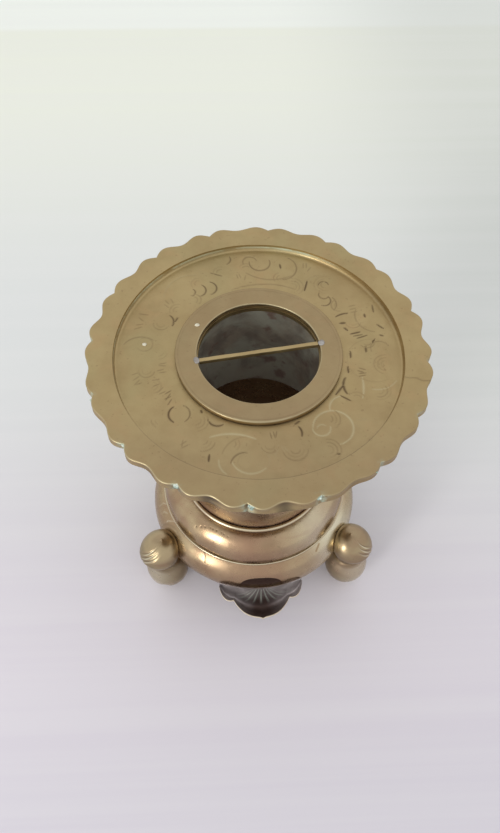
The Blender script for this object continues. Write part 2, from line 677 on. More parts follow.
def tray_rows(angles):
    """Rows (radius, height) of the tray's section, over the top, round the rim and under."""
    rim = scallop(angles)
    flat = np.ones(len(angles))
    flare = 0.9 * (TRAY_R + 0.8 * MM - rim) * bumps(angles, [(272, 20, 1.0)])
    under = TOP - RIM_THICK
    rows = [(MOUTH_R * flat, PAN_Z - 1.6 * MM), (MOUTH_R * flat, PAN_Z)]
    for r in np.arange(26.0, 45.2, 0.36) * MM:
        rows.append((r * flat, PAN_Z))
    for k in range(1, 8):
        turn = math.pi / 2 * k / 7
        rows.append(((STEP_R + (PAN_R - STEP_R) * math.sin(turn)) * flat,
                     PAN_Z + (TOP - PAN_Z) * (1 - math.cos(turn))))
    for share in (0.03, 0.10, 0.22, 0.36, 0.50, 0.62, 0.73, 0.83, 0.92):
        rows.append((PAN_R + (rim - 0.5 * MM - PAN_R) * share, TOP))
    for inset, drop in ((0.50, 0.00), (0.30, 0.03), (0.14, 0.12), (0.04, 0.28), (0.0, 0.50),
                        (0.10, 0.95), (0.16, 1.40), (0.14, 1.90), (0.02, 2.35), (0.0, 2.65),
                        (0.12, 2.90), (0.45, 3.00)):
        rows.append((rim + flare * (drop / 3.0) ** 1.5 - inset * MM, TOP - drop * MM))
    for share in (0.7, 0.35, 0.0):
        rows.append((PAN_R + 0.4 * MM + (rim - 1.0 * MM - PAN_R) * share, under))
    for r, z in ((45.2, -0.25), (44.5, -0.8), (40.0, -0.8), (33.0, -0.8), (26.0, -0.8)):
        rows.append((r * MM * flat, under + z * MM))
    return rows


def tray():
    """The scalloped tray with its sunk, engraved pan."""
    angles = np.linspace(0, TAU, 1024, endpoint=False)
    rows = tray_rows(angles)
    points = np.zeros((len(rows), len(angles), 3))
    for j, (r, z) in enumerate(rows):
        points[j, :, 0] = r * np.cos(angles)
        points[j, :, 1] = r * np.sin(angles)
        points[j, :, 2] = z
    flatly = points.reshape(-1, 3)
    radius = radius_of(flatly)
    on_pan = (np.abs(flatly[:, 2] - PAN_Z) < 1e-6) & (radius > 25.9 * MM)
    groove = np.zeros(len(flatly))
    tone = np.zeros(len(flatly))
    groove[on_pan], tone[on_pan] = engrave(flatly[on_pan, 0], flatly[on_pan, 1])
    cut = groove + rim_crack(flatly, radius)
    rub = rubbed_edge(flatly, radius)
    tone = np.where(on_pan, tone, np.where(rub > 0.02, 0.9, -0.35))
    ripple = 0.05 * MM * np.sin(flatly[:, 0] * 420 + 1) * np.sin(flatly[:, 1] * 370)
    flatly[:, 2] += ripple - 0.09 * MM * cut
    mesh = grid_mesh("tray_skin", points, wrap_rows=True)
    paint(mesh, "groove", np.clip(cut + rub, 0, 1))
    paint(mesh, "tone", tone)
    paint(mesh, "crust", tray_crust(flatly, radius))
    paint(mesh, "wall", wall_bloom(flatly, radius))
    put("tray_skin", mesh, tray_look(), "tray_top", "scalloped_tray", 50)


def rim_crack(points, radius):
    """Hair crack across the flat rim on the right."""
    angle = np.degrees(angle_of(points))
    wander = 0.30 * np.sin(radius / MM * 1.3)
    on_rim = (points[:, 2] > TOP - 0.6 * MM) & (radius > PAN_R)
    return np.exp(-((angle + 14.4 - wander) / 0.22) ** 2) * on_rim


def rubbed_edge(points, radius):
    """The rim's top edge, worn bright along the front and the left."""
    angle = angle_of(points)
    edge = (points[:, 2] < TOP - 0.02 * MM) & (points[:, 2] > TOP - 0.42 * MM) & (radius > 52 * MM)
    return edge * np.clip(bumps(angle, [(245, 42, 0.8), (190, 30, 0.25)]), 0, 1)


def tray_crust(points, radius):
    """Verdigris: thickest on the edge inside the sharp notches."""
    angle = angle_of(points)
    pitch = TAU / SCALLOP_PAIRS
    share = ((angle - SCALLOP_TURN) / pitch + 0.5) % 1.0 - 0.5
    notch = np.exp(-(share / 0.075) ** 2) * (radius > 52.6 * MM)
    side = (points[:, 2] < TOP - 0.05 * MM) & (points[:, 2] > TOP - 2.9 * MM)
    notch *= np.where(side, 1.0, 0.20)
    worn = np.cos(angle - math.radians(235)) * 0.5 + 0.5
    return np.clip(notch * (0.15 + 0.95 * worn), 0, 1)


def wall_bloom(points, radius):
    """Chalky (1) or dirty (-1) parts of the step round the pan and of the rim's wall."""
    height = (points[:, 2] - PAN_Z) / (TOP - PAN_Z)
    step = (radius > 45.3 * MM) & (radius < 46.05 * MM) & (height < 0.97) & (height > -0.05)
    angle = angle_of(points)
    places = [(70, 24, 1.0), (115, 30, 0.5), (165, 42, 0.80), (350, 16, 0.25),
              (34, 16, -0.35), (12, 14, -0.25), (270, 50, -0.6)]
    high = np.where(bumps(angle, places) > 0, np.clip(height * 1.9 - 0.15, 0, 1), 1.0)
    edge = (radius > 46.0 * MM) & (radius < 46.2 * MM) & (height > 0.9)
    edge_dirt = -0.65 * edge * bumps(angle, [(240, 40, 1.0), (300, 35, 1.0)])
    below = (radius > 50 * MM) & (points[:, 2] < TOP - 0.45 * MM)
    valley = np.clip((TRAY_R - scallop(angle)) / SCALLOP_DEPTH, 0, 1)
    rim_dirt = -0.95 * valley * bumps(angle, [(262, 34, 1.0)]) * below
    return bumps(angle, places) * step * high + edge_dirt + rim_dirt


def collar():
    """Raised collar round the mouth, with a dirty foot and rubbed edges."""
    foot = PAN_Z + 0.25 * MM
    bore = MOUTH_R + 0.3 * MM
    edge = arc((COLLAR_R - 0.45 * MM, COLLAR_TOP - 0.35 * MM), 0.45 * MM, 0, 90, 7)
    ring = [(0.80, 0.06), (1.00, -0.05), (1.12, -0.06), (1.30, 0.02), (1.80, 0.03), (3.2, 0.0),
            (5.0, -0.02)]
    lip = arc((bore + 0.35 * MM, COLLAR_TOP - 0.35 * MM), 0.35 * MM, 90, 180, 6)
    line = [(COLLAR_R, foot), *edge]
    line += [(COLLAR_R - inset * MM, COLLAR_TOP + rise * MM) for inset, rise in ring]
    line += [(bore + 0.6 * MM, COLLAR_TOP), *lip, (bore, COLLAR_TOP - 0.8 * MM), (bore, foot)]
    points = waver(turn_grid(line, 360), 0.06 * MM, 5, 0.03)
    mesh = grid_mesh("collar_skin", points, wrap_rows=True)
    radius = radius_of(points)
    angle = angle_of(points)
    upper = points[..., 2] > COLLAR_TOP - 0.5 * MM
    near = 0.35 + 0.65 * bumps(angle, [(275, 70, 1.0)])
    dirt = near * np.exp(-((points[..., 2] - foot) / (0.35 * MM)) ** 2) * (radius > 24 * MM)
    dirt += 0.18 * near * np.exp(-((radius - COLLAR_R + 1.06 * MM) / (0.14 * MM)) ** 2)
    lip_rub = (radius < bore + 0.35 * MM) * (0.45 + 0.5 * bumps(angle, [(60, 50, 1.0)]))
    edge_rub = (radius > COLLAR_R - 0.4 * MM) * 0.7 * bumps(angle, [(270, 50, 1.0)])
    bright = np.maximum(lip_rub, edge_rub) * upper
    paint(mesh, "groove", np.clip(np.maximum(dirt, bright), 0, 1))
    paint(mesh, "tone", np.where(bright > dirt, 0.9, -0.8))
    look = tray_look("collar_brass", 0.36)
    put("collar_skin", mesh, look, "tray_top", "mouth_collar")


def bar():
    """Flat strip across the mouth, its long edges filed a little unevenly."""
    half = MOUTH_R - 0.3 * MM
    section = rounded([(-0.68, 0.0), (0.68, 0.0), (0.68, -1.6), (-0.68, -1.6)], 0.22)
    stations = np.linspace(-1, 1, 90)
    points = np.zeros((len(stations), len(section), 3))
    for j, s in enumerate(stations):
        wave = 0.03 * math.sin(s * 9 + 1) + 0.015 * math.sin(s * 31)
        for i, (u, v) in enumerate(section):
            points[j, i] = (s * half, (u * (1 + 0.05 * math.sin(s * 7)) + wave) * MM,
                            bar_high.z + v * MM)
    mesh = grid_mesh("bar_skin", points)
    mesh.transform(Matrix.Rotation(BAR_TURN, 4, "Z"))
    cap_ends(mesh)
    put("bar_skin", mesh, tray_look("bar_brass"), "tray_top", "cross_bar")


def cap_ends(mesh):
    """Close the open ends of a tube-like mesh."""
    bm = bmesh.new()
    bm.from_mesh(mesh)
    bmesh.ops.holes_fill(bm, edges=bm.edges[:])
    bmesh.ops.recalc_face_normals(bm, faces=bm.faces[:])
    bm.to_mesh(mesh)
    bm.free()


def solder(name, node, side, seed):
    """Smeared flat bead of grey solder over one end of the bar."""
    reach = (MOUTH_R + 0.75 * MM) * side
    rng = random.Random(seed)
    phases = [rng.uniform(0, TAU) for _ in range(3)]
    rows, columns = 14, 64
    points = np.zeros((rows, columns, 3))
    for j in range(rows):
        share = j / (rows - 1)
        rise = 0.24 * math.sqrt(max(0.0, 1 - share ** 2.2)) * MM
        for i in range(columns):
            a = TAU * i / columns
            lump = 1 + 0.16 * math.sin(a + phases[0]) + 0.10 * math.sin(2 * a + phases[1])
            r = (0.02 + 0.95 * share) * lump * MM
            ripple = 0.03 * MM * math.sin(6 * share + 2 * a + phases[2]) * (1 - share)
            points[j, i] = (reach * math.cos(BAR_TURN) + r * math.cos(a),
                            reach * math.sin(BAR_TURN) + 1.3 * r * math.sin(a),
                            TOP - 0.40 * MM + rise + ripple)
    mesh = grid_mesh(name, points)
    cap_ends(mesh)
    put(name, mesh, solder_look(name + "_look"), "tray_top", node, 80)


def tube():
    """Flanged tube under the tray, thin bloom inside and soot outside."""
    low, high = tube_low.z, tube_high.z
    line = scaled([(28.6, 0), (28.8, -0.2), (28.8, -0.8), (28.6, -1.0), (25.7, -1.1)], high)
    line += [(TUBE_OUT, z) for z in np.linspace(high - 1.5 * MM, low + 0.3 * MM, 40)]
    line += [(TUBE_OUT - 0.2 * MM, low), (TUBE_IN + 0.2 * MM, low)]
    line += [(TUBE_IN, z) for z in np.linspace(low + 0.3 * MM, high, 48)]
    points = waver(turn_grid(line, 240), 0.10 * MM, 8, 0.02)
    mesh = grid_mesh("tube_skin", points, wrap_rows=True)
    paint(mesh, "outer", radius_of(points) > 25.0 * MM)
    put("tube_skin", mesh, inner_look(), "tray_top", "tray_tube")


# ---- neck and body -----------------------------------------------------------------------
def turned_piece(name, node, line, material, body="body", seams=(),
                 uneven=0.10, seed=1, columns=TURN):
    """A turned, slightly uneven surface with grime painted at the given heights."""
    points = waver(turn_grid(line, columns), uneven * MM, seed, 0.018)
    mesh = grid_mesh(name, points, wrap_rows=True)
    paint(mesh, "grime", seam_grime(points[..., 2], seams))
    return put(name, mesh, material, body, node)


def seam_grime(height, seams):
    """Dirt gathered at heights, each (height, spread, amount)."""
    grime = np.zeros(height.shape)
    for middle, spread, amount in seams:
        grime += amount * np.exp(-((height - middle) / spread) ** 2)
    return np.clip(grime, 0, 1)


def neck():
    """Wide neck with a rolled lip, very slightly waisted."""
    top, foot = neck_high.z, neck_low.z
    line = scaled([(27.2, 0), (28.4, 0)], top)
    line += arc((28.6 * MM, top - NECK_LIP), NECK_LIP, 85, -60, 10)
    line += scaled([(27.9, -2.6), (27.4, -3.8), (27.0, -6.0)], top)
    for z in np.linspace(top - 8 * MM, foot + 0.1 * MM, 60):
        share = (z - foot) / (top - foot)
        line.append((NECK_OUT - 0.3 * MM * math.sin(math.pi * share), z))
    line += [(NECK_IN, foot)] + [(NECK_IN, z) for z in np.linspace(foot + 1 * MM, top, 20)]
    seams = [(top - 2.4 * MM, 0.5 * MM, 0.8)]
    look = body_look("neck_brass", hollow=True)
    thing = turned_piece("neck_skin", "neck", line, look, seams=seams, seed=3)
    height = vertex_array(thing.data)[:, 2]
    paint(thing.data, "hollow", 1.7 * np.exp(-((height - foot) / (2.6 * MM)) ** 2))


def shoulder_bead():
    """Half-round bead with a bright crown and a dirty line along its foot."""
    radius = (bead_high.z - bead_low.z) / 2
    middle = (bead_high.x - radius, bead_low.z + radius)
    line = []
    for angle in np.linspace(90, -225, 45):
        cut = 0.22 * MM * math.exp(-((angle + 6) / 14) ** 2)
        line += arc(middle, radius - cut, angle, angle, 1)
    points = waver(turn_grid(line), 0.05 * MM, 4, 0.018)
    mesh = grid_mesh("shoulder_bead_skin", points, wrap_rows=True)
    rise = np.degrees(np.arctan2(points[..., 2] - middle[1],
                                 radius_of(points) - middle[0]))
    bright = 0.50 * np.exp(-((rise - 48) / 18) ** 2) + 0.25 * np.exp(-((rise + 42) / 10) ** 2)
    paint(mesh, "mark", bright - 0.85 * np.exp(-((rise + 6) / 20) ** 2))
    put("shoulder_bead_skin", mesh, body_look("bead_brass"), "body", "shoulder_bead")


def shoulder():
    """Upper bulge: a quarter oval with a row of small pits on its left front."""
    wide = shoulder_high.x - SHOULDER_R
    tall = shoulder_high.z - shoulder_low.z
    middle = (SHOULDER_R, shoulder_low.z)
    turns = np.concatenate([np.linspace(90, 68, 9), np.linspace(66.8, 46, 19), np.linspace(44, 0, 20)])
    line = oval(middle, wide, tall, turns)
    line += oval(middle, wide - SHELL_WALL, tall - SHELL_WALL, np.linspace(0, 90, 20))
    points = waver(turn_grid(line, FINE), 0.14 * MM, 5, 0.018)
    pits = shoulder_pits(points)
    radius = radius_of(points)
    points[..., 2] -= 0.16 * MM * pits
    mesh = grid_mesh("shoulder_skin", points, wrap_rows=True)
    seams = [(shoulder_low.z, 0.30 * MM, 0.8), (shoulder_high.z, 0.22 * MM, 0.4)]
    grime = seam_grime(points[..., 2], seams)
    grime = np.maximum(grime, 0.9 * (radius < inner_reach(points[..., 2], middle, wide, tall)))
    angle = angle_of(points)
    paint(mesh, "grime", grime)
    paint(mesh, "mark", bumps(angle, [(314, 22, 0.40)]) - 0.85 * pits)
    paint(mesh, "rosy", bumps(angle, ROSY))
    put("shoulder_skin", mesh, body_look("shoulder_brass"), "body", "shoulder_shell")


def inner_reach(height, middle, wide, tall):
    """Radius below which a point of the upper bulge is on its inner side."""
    share = np.clip((height - middle[1]) / tall, 0, 1)
    return middle[0] + wide * np.sqrt(1 - share ** 2) - 0.5 * MM


def shoulder_pits(points):
    """1 in each pit of the broken row on the upper bulge."""
    rng = random.Random(11)
    total = np.zeros(points.shape[:2])
    spots = [(degrees, 30.1 + 0.011 * (degrees + 119) ** 2) for degrees in range(-135, -108, 3)]
    for degrees, reach in spots:
        x, y = polar(degrees + rng.uniform(-0.7, 0.7), (reach + rng.uniform(-0.2, 0.2)) * MM)
        size = rng.uniform(0.20, 0.32) * MM
        off = np.hypot(points[..., 0] - x, points[..., 1] - y)
        total += np.exp(-(off / size) ** 2) * (points[..., 2] > 42 * MM)
    return np.clip(total, 0, 1)


def waist():
    """Thin moulding between the bulges: a fine bright line over a dirty groove."""
    top, foot = waist_high.z, waist_low.z
    middle = (top + foot) / 2
    half = (top - foot) / 2
    crown = arc((waist_high.x - half + 0.15 * MM, middle), half, 80, -80, 14)
    line = [(WAIST_IN, top), *crown, (WAIST_IN, foot)]
    points = waver(turn_grid(line), 0.04 * MM, 6, 0.018)
    mesh = grid_mesh("waist_skin", points, wrap_rows=True)
    height = (points[..., 2] - foot) / (top - foot)
    line_rub = 0.52 * np.exp(-((height - 0.82) / 0.20) ** 2)
    paint(mesh, "mark", line_rub - 0.75 * np.exp(-((height - 0.10) / 0.24) ** 2))
    put("waist_skin", mesh, body_look("waist_brass"), "body", "waist_bead")


def door_block():
    """Solid in the shape of the flat-topped arched door, through the front wall."""
    outline = [(-DOOR_HALF, DOOR_SILL), (DOOR_HALF, DOOR_SILL), (DOOR_HALF, DOOR_SPRING)]
    bends = 28
    for i in range(1, bends):
        a = math.pi * i / bends
        across = math.copysign(abs(math.cos(a)) ** 0.8, math.cos(a))
        up = math.sin(a) ** 0.8
        outline.append((DOOR_HALF * across, DOOR_SPRING + (DOOR_CROWN - DOOR_SPRING) * up))
    outline.append((-DOOR_HALF, DOOR_SPRING))
    bm = bmesh.new()
    loops = [[bm.verts.new((x, y, z)) for x, z in outline] for y in DOOR_CUT]
    for i in range(len(outline)):
        k = (i + 1) % len(outline)
        bm.faces.new((loops[0][i], loops[0][k], loops[1][k], loops[1][i]))
    bm.faces.new(loops[0])
    bm.faces.new(loops[1])
    bmesh.ops.recalc_face_normals(bm, faces=bm.faces[:])
    mesh = mesh_of("door_block", bm)
    mesh.transform(Matrix.Rotation(DOOR_TURN, 4, "Z"))
    return mesh


def cut_mesh(mesh, tool, name):
    """The mesh with a solid cut out of it."""
    thing = new_object(name + "_whole", mesh)
    block = new_object(name + "_block", tool)
    change = thing.modifiers.new("cut", "BOOLEAN")
    change.operation = "DIFFERENCE"
    change.solver = "EXACT"
    change.object = block
    bpy.context.view_layer.update()
    result = bpy.data.meshes.new_from_object(
        thing.evaluated_get(bpy.context.evaluated_depsgraph_get()))
    for o in (thing, block):
        bpy.data.objects.remove(o)
    result.name = name
    return result


def vertex_array(mesh):
    """The vertices of a mesh as an array of points."""
    flat = np.zeros(len(mesh.vertices) * 3)
    mesh.vertices.foreach_get("co", flat)
    return flat.reshape(-1, 3)


def lower_bowl():
    """Lower bulge with the draught door cut through its front."""
    top = bowl_high.z - BOWL_MID[1]
    inner_r = BOWL_R - BOWL_WALL
    turn = math.degrees(math.asin(top / BOWL_R))
    inner_turn = math.degrees(math.asin(top / inner_r))
    line = arc(BOWL_MID, BOWL_R, turn, 8, 44) + arc(BOWL_MID, BOWL_R, 5, -90, 28)
    line += arc(BOWL_MID, inner_r, -90, inner_turn, 30)
    points = waver(turn_grid(line, FINE), 0.12 * MM, 7, 0.02)
    marks = bowl_marks(points)
    points[..., 2] -= 0.10 * MM * np.abs(marks)
    angle = angle_of(points)
    whole = grid_mesh("bowl_whole", points, wrap_rows=True)
    paint(whole, "mark", np.clip(marks + bumps(angle, [(324, 22, 0.62)]), -1, 1))
    paint(whole, "rosy", bumps(angle, ROSY))
    mesh = cut_mesh(whole, door_block(), "lower_bowl_skin")
    place = vertex_array(mesh)
    inner = np.hypot(radius_of(place) - BOWL_MID[0], place[:, 2] - BOWL_MID[1])
    hollow = inner < BOWL_R - 0.7 * MM
    grime = 0.8 * np.exp(-((place[:, 2] - bowl_high.z) / (0.30 * MM)) ** 2)
    grime += 0.6 * hollow + foot_shadow(place)
    paint(mesh, "grime", np.clip(grime, 0, 1))
    paint(mesh, "hollow", hollow)
    put("lower_bowl_skin", mesh, body_look("bowl_brass", hollow=True), "body", "lower_bowl")


def bowl_marks(points):
    """Old damage on the lower bulge: a dark crack, a nick and three bright dents.
    Each is a line through spots given as (degrees round, degrees up the section)."""
    marks = [([(-125.5, 60), (-123, 50), (-121.6, 36)], 0.26, -1.0),
             ([(-48.8, 52), (-52.8, 44)], 0.26, -0.9),
             ([(-168.6, 32), (-168.6, 45), (-165.6, 57)], 0.20, 0.55),
             ([(-163.5, 30), (-163.2, 42), (-160.5, 49)], 0.20, 0.50),
             ([(-157.8, 20), (-156.3, 43), (-151.6, 60)], 0.22, 0.60)]
    total = np.zeros(points.shape[:2])
    for spots, width, tone in marks:
        near = np.full(points.shape[:2], 1.0)
        for first, last in zip(spots, spots[1:]):
            ends = [bowl_spot(*first), bowl_spot(*last)]
            way = ends[1] - ends[0]
            share = np.clip(((points - ends[0]) @ way) / (way @ way), 0, 1)
            off = np.linalg.norm(points - ends[0] - share[..., None] * way, axis=-1)
            near = np.minimum(near, off)
        total += tone * np.exp(-(near / (width * MM)) ** 2)
    return np.clip(total, -1, 1)


def bowl_spot(turn, rise):
    """Point on the lower bulge at an angle round it and an angle up its section."""
    (radius, height), = arc(BOWL_MID, BOWL_R, rise, rise, 1)
    x, y = polar(turn, radius)
    return np.array([x, y, height])


def foot_shadow(place):
    """Dirt gathered on the bowl round each foot."""
    total = np.zeros(len(place))
    for turn in FOOT_TURNS.values():
        seat = Vector((41.0 * MM, 0, KNEE_Z))
        seat.rotate(Matrix.Rotation(math.radians(turn), 3, "Z"))
        far = np.linalg.norm(place - np.array(seat), axis=1)
        total += 0.25 * np.exp(-((far - KNEE_R) / (0.5 * MM)) ** 2)
    return total


def base_plate():
    """Disc that closes the bowl below."""
    low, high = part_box("base_plate")
    r = high.x
    line = [(r - 0.3 * MM, high.z), (r, high.z - 0.3 * MM), (r, low.z), (0.2 * MM, low.z),
            *scaled([(0.2, 0), (8, 0), (16, 0)], high.z)]
    turned_piece("base_plate_skin", "base_plate", line, soot_look("base_soot", 0.026),
                 uneven=0.03, seed=9, columns=160)


def hearth_shelf():
    """Ring in the bowl that carries the grate."""
    low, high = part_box("hearth_shelf")
    inner, outer = 21.5 * MM, high.x
    line = [(outer - 0.2 * MM, high.z), (outer, high.z - 0.2 * MM), (outer, low.z),
            (28 * MM, low.z), (inner, low.z), (inner, high.z - 0.2 * MM),
            (inner + 0.2 * MM, high.z), (28 * MM, high.z)]
    turned_piece("hearth_shelf_skin", "hearth_shelf", line, soot_look("shelf_soot"),
                 uneven=0.03, seed=10, columns=200)


def grate():
    """Fire grate: a loose disc with two rings of drilled holes."""
    low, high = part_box("fire_grate")
    r = high.x
    line = [(r - 0.25 * MM, high.z), (r, high.z - 0.25 * MM), (r, low.z + 0.2 * MM),
            (r - 0.2 * MM, low.z), (0.15 * MM, low.z), (0.15 * MM, high.z)]
    disc = grid_mesh("grate_disc", turn_grid(line, 200), wrap_rows=True)
    cap_ends(disc)
    bm = bmesh.new()
    for reach, count in HOLE_RINGS:
        for i in range(count):
            x, y = polar(360 * i / count, reach * MM)
            bmesh.ops.create_cone(bm, cap_ends=True, segments=28, radius1=HOLE_R,
                                  radius2=HOLE_R, depth=4 * MM,
                                  matrix=Matrix.Translation((x, y, (low.z + high.z) / 2)))
    mesh = cut_mesh(disc, mesh_of("grate_drills", bm), "grate_skin")
    put("grate_skin", mesh, soot_look("grate_soot"), "grate", "fire_grate")


def knob():
    """Turned mushroom knob in the middle of the grate."""
    line = [(0.05, 5.8), (0.9, 5.72), (1.7, 5.42), (2.35, 4.85), (2.6, 4.2), (2.4, 3.6), (1.9, 3.1),
            (1.4, 2.6), (1.2, 2.1), (1.2, 1.2), (1.5, 0.7), (2.2, 0.35), (2.4, 0.1), (2.35, 0.0),
            (0.05, 0.0)]
    line = scaled(line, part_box("grate_knob")[0].z)
    turned_piece("knob_skin", "grate_knob", line, soot_look("knob_soot"), body="grate",
                 uneven=0.04, seed=12, columns=96)


# ---- apron ---------------------------------------------------------------------------------
def bowl_radius(z):
    """Outer radius of the bowl at a height."""
    reach = BOWL_R ** 2 - (z - BOWL_MID[1]) ** 2
    return BOWL_MID[0] + math.sqrt(reach) if reach > 0 else 0.0


def apron_rim(across):
    """Radius and height of the shell's rim: two lobes each side of a pointed tip."""
    side = abs(across)
    if side < APRON_NOTCH:
        along = side / APRON_NOTCH
        radius = APRON_TIP_R + (APRON_NOTCH_R - 0.6 * MM - APRON_TIP_R) * along
        radius += 2.0 * MM * math.sin(math.pi * along) ** 0.9 - 0.4 * MM
        radius += 0.9 * MM * math.exp(-along / 0.09)
    else:
        along = (side - APRON_NOTCH) / (1 - APRON_NOTCH)
        radius = APRON_NOTCH_R - 1.0 * MM + (APRON_END_R - APRON_NOTCH_R + 1.0 * MM) * along
        radius += 2.3 * MM * math.sin(math.pi * along) ** 0.8
    return radius, APRON_TIP_Z + (APRON_END_Z - APRON_TIP_Z) * side ** 2


def apron_point(across, down, thick):
    """A point of the shell's inner face (thick 0) or outer face, from lip (0) to rim (1)."""
    angle = across * APRON_HALF + DOOR_TURN
    rim_r, rim_z = apron_rim(across)
    lip_z = APRON_LIP_Z + (APRON_END_Z - 0.6 * MM - APRON_LIP_Z) * across ** 4
    sag = APRON_DEEP * (1 - 0.75 * across ** 2) * math.sin(math.pi * down ** 0.85)
    z = lip_z + (rim_z - lip_z) * down - sag - thick
    lip_r = bowl_radius(lip_z) + 0.3 * MM
    radius = lip_r + (rim_r - lip_r) * down ** 1.15
    radius = max(radius, bowl_radius(z) + 0.3 * MM)
    return [radius * math.sin(angle), -radius * math.cos(angle), z]


def rib(across, down):
    """Height of the fan of ribs, 1 on a crest; they spread from under the lip."""
    start = min(1.0, down / 0.03)
    share = max(0.0, min(1.0, (down - 0.20) / 0.18))
    fade = start * (1 - share ** 2 * (3 - 2 * share))
    spread = across / (0.20 + 1.55 * down)
    fan = max(0.0, 1 - (abs(spread) / 1.12) ** 6)
    return max(0.0, math.cos(spread * TAU * 4.1)) ** 1.5 * fade * fan


def apron():
    """Ribbed shell under the door, painted for its rubbed rim, rib crests and dark middle."""
    columns, rows = 320, 60
    across = np.linspace(-1, 1, columns + 1)
    down = np.linspace(0, 1, rows + 1) ** 1.5
    faces = []
    crests = np.array([[rib(a, d) for a in across] for d in down])
    for thick in (0.0, APRON_THICK):
        sheet = np.array([[apron_point(a, d, thick) for a in across] for d in down])
        sheet[..., 2] += 0.50 * MM * crests
        faces.append(sheet)
    loop = np.concatenate([faces[0], faces[1][::-1]])
    mesh = grid_mesh("apron_skin", loop, wrap_rows=True, wrap_columns=False)
    down = down[:, None] + 0 * across
    middle = np.clip(1.25 - 1.7 * np.abs(across) / (0.55 + 0.6 * down), 0, 1)
    marks = {"rim": np.clip((down - 0.962) / 0.02, 0, 1),
             "ridge": np.clip(crests, 0, 1),
             "floor": np.clip((down + 0.10) / 0.35, 0, 1) * middle}
    for name, values in marks.items():
        paint(mesh, name, np.concatenate([values, values[::-1]]))
    cap_ends(mesh)
    put("apron_skin", mesh, patina_look(), "body", "shell_apron")


# ---- feet ------------------------------------------------------------------------------------
def foot_point(turn, height, mirror):
    """A point of a foot standing on the +X side; turn is 0 straight outwards and grows
    towards the side that faces the front.  Height is in mm."""
    knee = swell(height * MM, KNEE_R, KNEE_TALL, KNEE_Z)
    ball = swell(height * MM, BALL_R, BALL_TALL, BALL_TALL)
    ankle = ANKLE_R if BALL_TALL < height * MM < KNEE_Z else 0.0
    pad = PAD_R if height < 0.6 else 0.2 * MM
    sharp = 9.0
    radius = sum((part / MM) ** sharp for part in (knee, ball, ankle, pad)) ** (1 / sharp)
    crease = CREASE_Z / MM + 1.2 * math.cos(turn + 0.6)
    radius -= 0.7 * math.exp(-((height - crease) / 0.8) ** 2)
    outer = math.exp(-((turn - GROOVE_TURN) / 0.45) ** 2)
    for k in range(3):
        radius -= 0.55 * outer * math.exp(-((height - groove_height(k, turn)) / 0.42) ** 2)
    if mirror > 0:
        cleft = math.exp(-((turn - 0.85) / 0.16) ** 2) * max(0.0, 1 - height / 9.0)
        radius -= 2.6 * cleft
    inward = 2.4 if mirror > 0 else 0.8
    shift = -inward * max(0.0, min(1.0, (24.0 - height) / 9.0)) - 0.22 * max(0.0, height - 28.0)
    x = FOOT_R + (shift + radius * math.cos(turn)) * MM
    return x, mirror * radius * math.sin(turn) * MM, height * MM


def swell(z, wide, tall, middle):
    """Radius at a height of an oval swelling, or 0 above and below it."""
    return wide * max(0.0, 1 - ((z - middle) / tall) ** 2) ** 0.5


def groove_height(k, turn):
    """Height in mm of the k-th slanting groove on a knee."""
    return 33.2 - 2.1 * k + 6.5 * (turn - GROOVE_TURN)


def clear_bowl(points):
    """Push points of a foot out of the bowl's wall, along the section's radius."""
    reach = BOWL_R + 0.15 * MM
    along = radius_of(points)
    off_r, off_z = along - BOWL_MID[0], points[..., 2] - BOWL_MID[1]
    far = np.maximum(np.hypot(off_r, off_z), 1e-9)
    inside = far < reach
    new_r = BOWL_MID[0] + off_r / far * reach
    points[..., 2] = np.where(inside, BOWL_MID[1] + off_z / far * reach, points[..., 2])
    for axis in (0, 1):
        points[..., axis] *= np.where(inside, new_r / along, 1.0)


def foot(node, turn, mirror):
    """One foot, turned to its place; mirror is 1 for the left one and -1 for its mirror image."""
    columns, rows = 144, 130
    points = np.zeros((rows, columns, 3))
    half = (foot_high.z - foot_low.z) / MM / 2
    for j in range(rows):
        share = j / (rows - 1)
        height = half - (half - 0.05) * math.cos(math.pi * share)
        for i in range(columns):
            points[j, i] = foot_point(TAU * i / columns - math.pi, height, mirror)
    name = node + "_skin"
    clear_bowl(points)
    mesh = grid_mesh(name, points)
    cap_ends(mesh)
    place = vertex_array(mesh)
    side = np.arctan2(mirror * place[:, 1], place[:, 0] - FOOT_R)
    height = place[:, 2]
    inward = radius_of(place)
    grime = 0.5 * np.exp(-(height / (0.8 * MM)) ** 2)
    grime += 0.6 * np.exp(-((height - CREASE_Z) / (0.8 * MM)) ** 2)
    grime += 0.4 * np.clip((39.6 * MM - inward) / (1.2 * MM), 0, 1)
    grime += 0.20 * (height < CREASE_Z) * np.exp(-((side - 2.1) / 0.6) ** 2)
    streak = np.zeros(len(place))
    for k in range(3):
        line = groove_height(k, side) * MM
        streak += 0.7 * np.exp(-((height - line + 0.55 * MM) / (0.25 * MM)) ** 2)
        streak -= 0.7 * np.exp(-((height - line) / (0.22 * MM)) ** 2)
    paint(mesh, "grime", np.clip(grime, 0, 1))
    streak = np.clip(streak, -1, 1) * np.exp(-((side - GROOVE_TURN) / 0.45) ** 2)
    rubbed = 0.45 * np.clip((CREASE_Z - 1.5 * MM - height) / (2 * MM), 0, 1)
    paint(mesh, "mark", streak + rubbed * np.exp(-((side - 0.5) / 1.3) ** 2))
    paint(mesh, "matte", np.clip((height - CREASE_Z) / (2 * MM), 0, 1))
    mesh.transform(Matrix.Rotation(math.radians(turn), 4, "Z"))
    dull = 0.60 if mirror > 0 else 0.30
    put(name, mesh, body_look(node + "_brass", dull), "body", node, 75)


